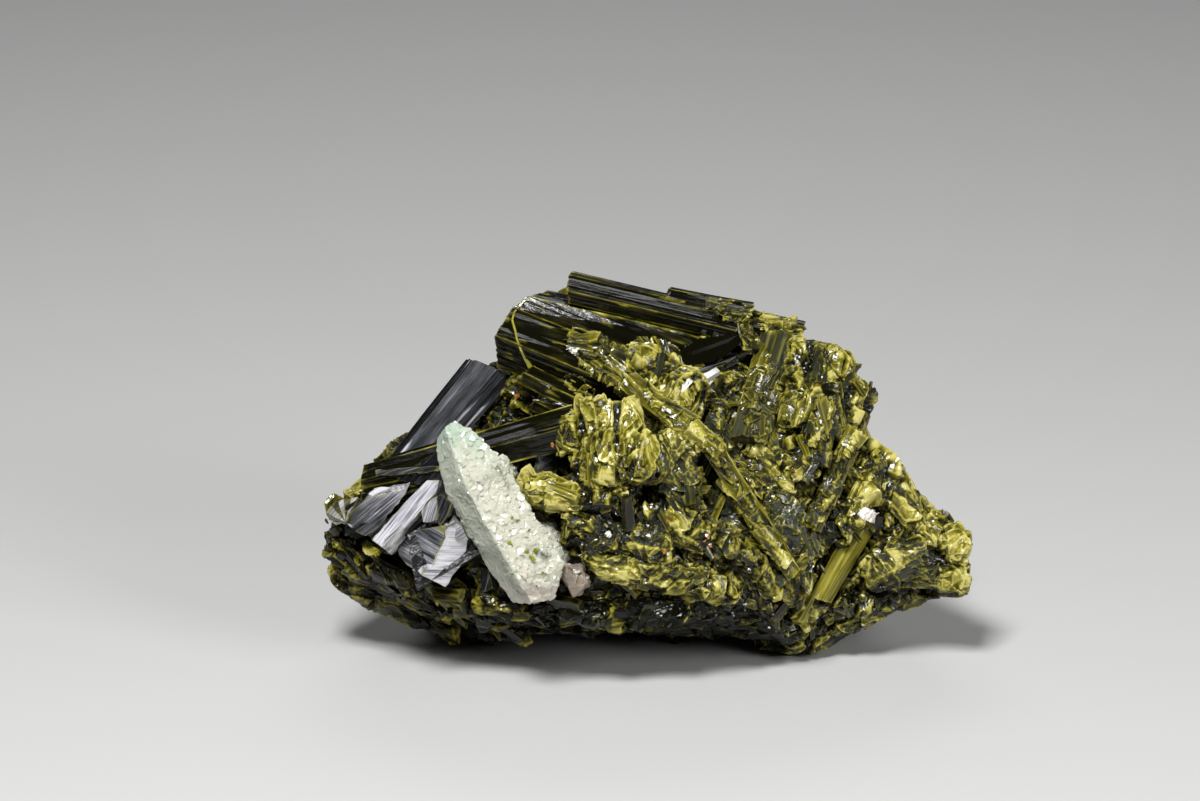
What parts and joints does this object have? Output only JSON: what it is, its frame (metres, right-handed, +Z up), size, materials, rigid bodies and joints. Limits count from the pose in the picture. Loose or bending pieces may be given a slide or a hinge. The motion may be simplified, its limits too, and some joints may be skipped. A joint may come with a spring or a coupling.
{
  "type": "green tourmaline with quartz",
  "caption": "Mineral hand specimen: striated dark green prisms and yellow-green laths crossing on one crystalline mass, with a milky quartz crystal standing against its left front.",
  "frame": {"origin": "middle of the specimen's bounding box, on the plane of the flats that it rests on", "axes": "+Z up, +X along its longest extent, to the right as seen from the front; the quartz side faces -Y"},
  "size_m": [0.0806, 0.0489, 0.0468],
  "materials": {
    "olive_green": "yellow-green splintery crystal with dark green depths",
    "dark_green": "glassy striated prism faces, near black",
    "silvery_cleavage": "streaked grey cleavage with a silky shine",
    "milky_quartz": "translucent milky white, hammered faces",
    "smoky_quartz": "brownish clear grain"
  },
  "bodies": {
    "root": {"tourmaline_mass": "olive_green", "upper_prisms": "dark_green", "ridge_prisms": "dark_green", "left_prisms": "dark_green", "left_blade": "silvery_cleavage", "left_cleavage_fan": "silvery_cleavage", "diagonal_prisms": "olive_green", "upright_prism": "olive_green", "lower_prism": "olive_green", "right_slab": "olive_green", "quartz_crystal": "milky_quartz", "smoky_quartz_grain": "smoky_quartz", "white_quartz_grain": "milky_quartz"}
  },
  "joints": []
}
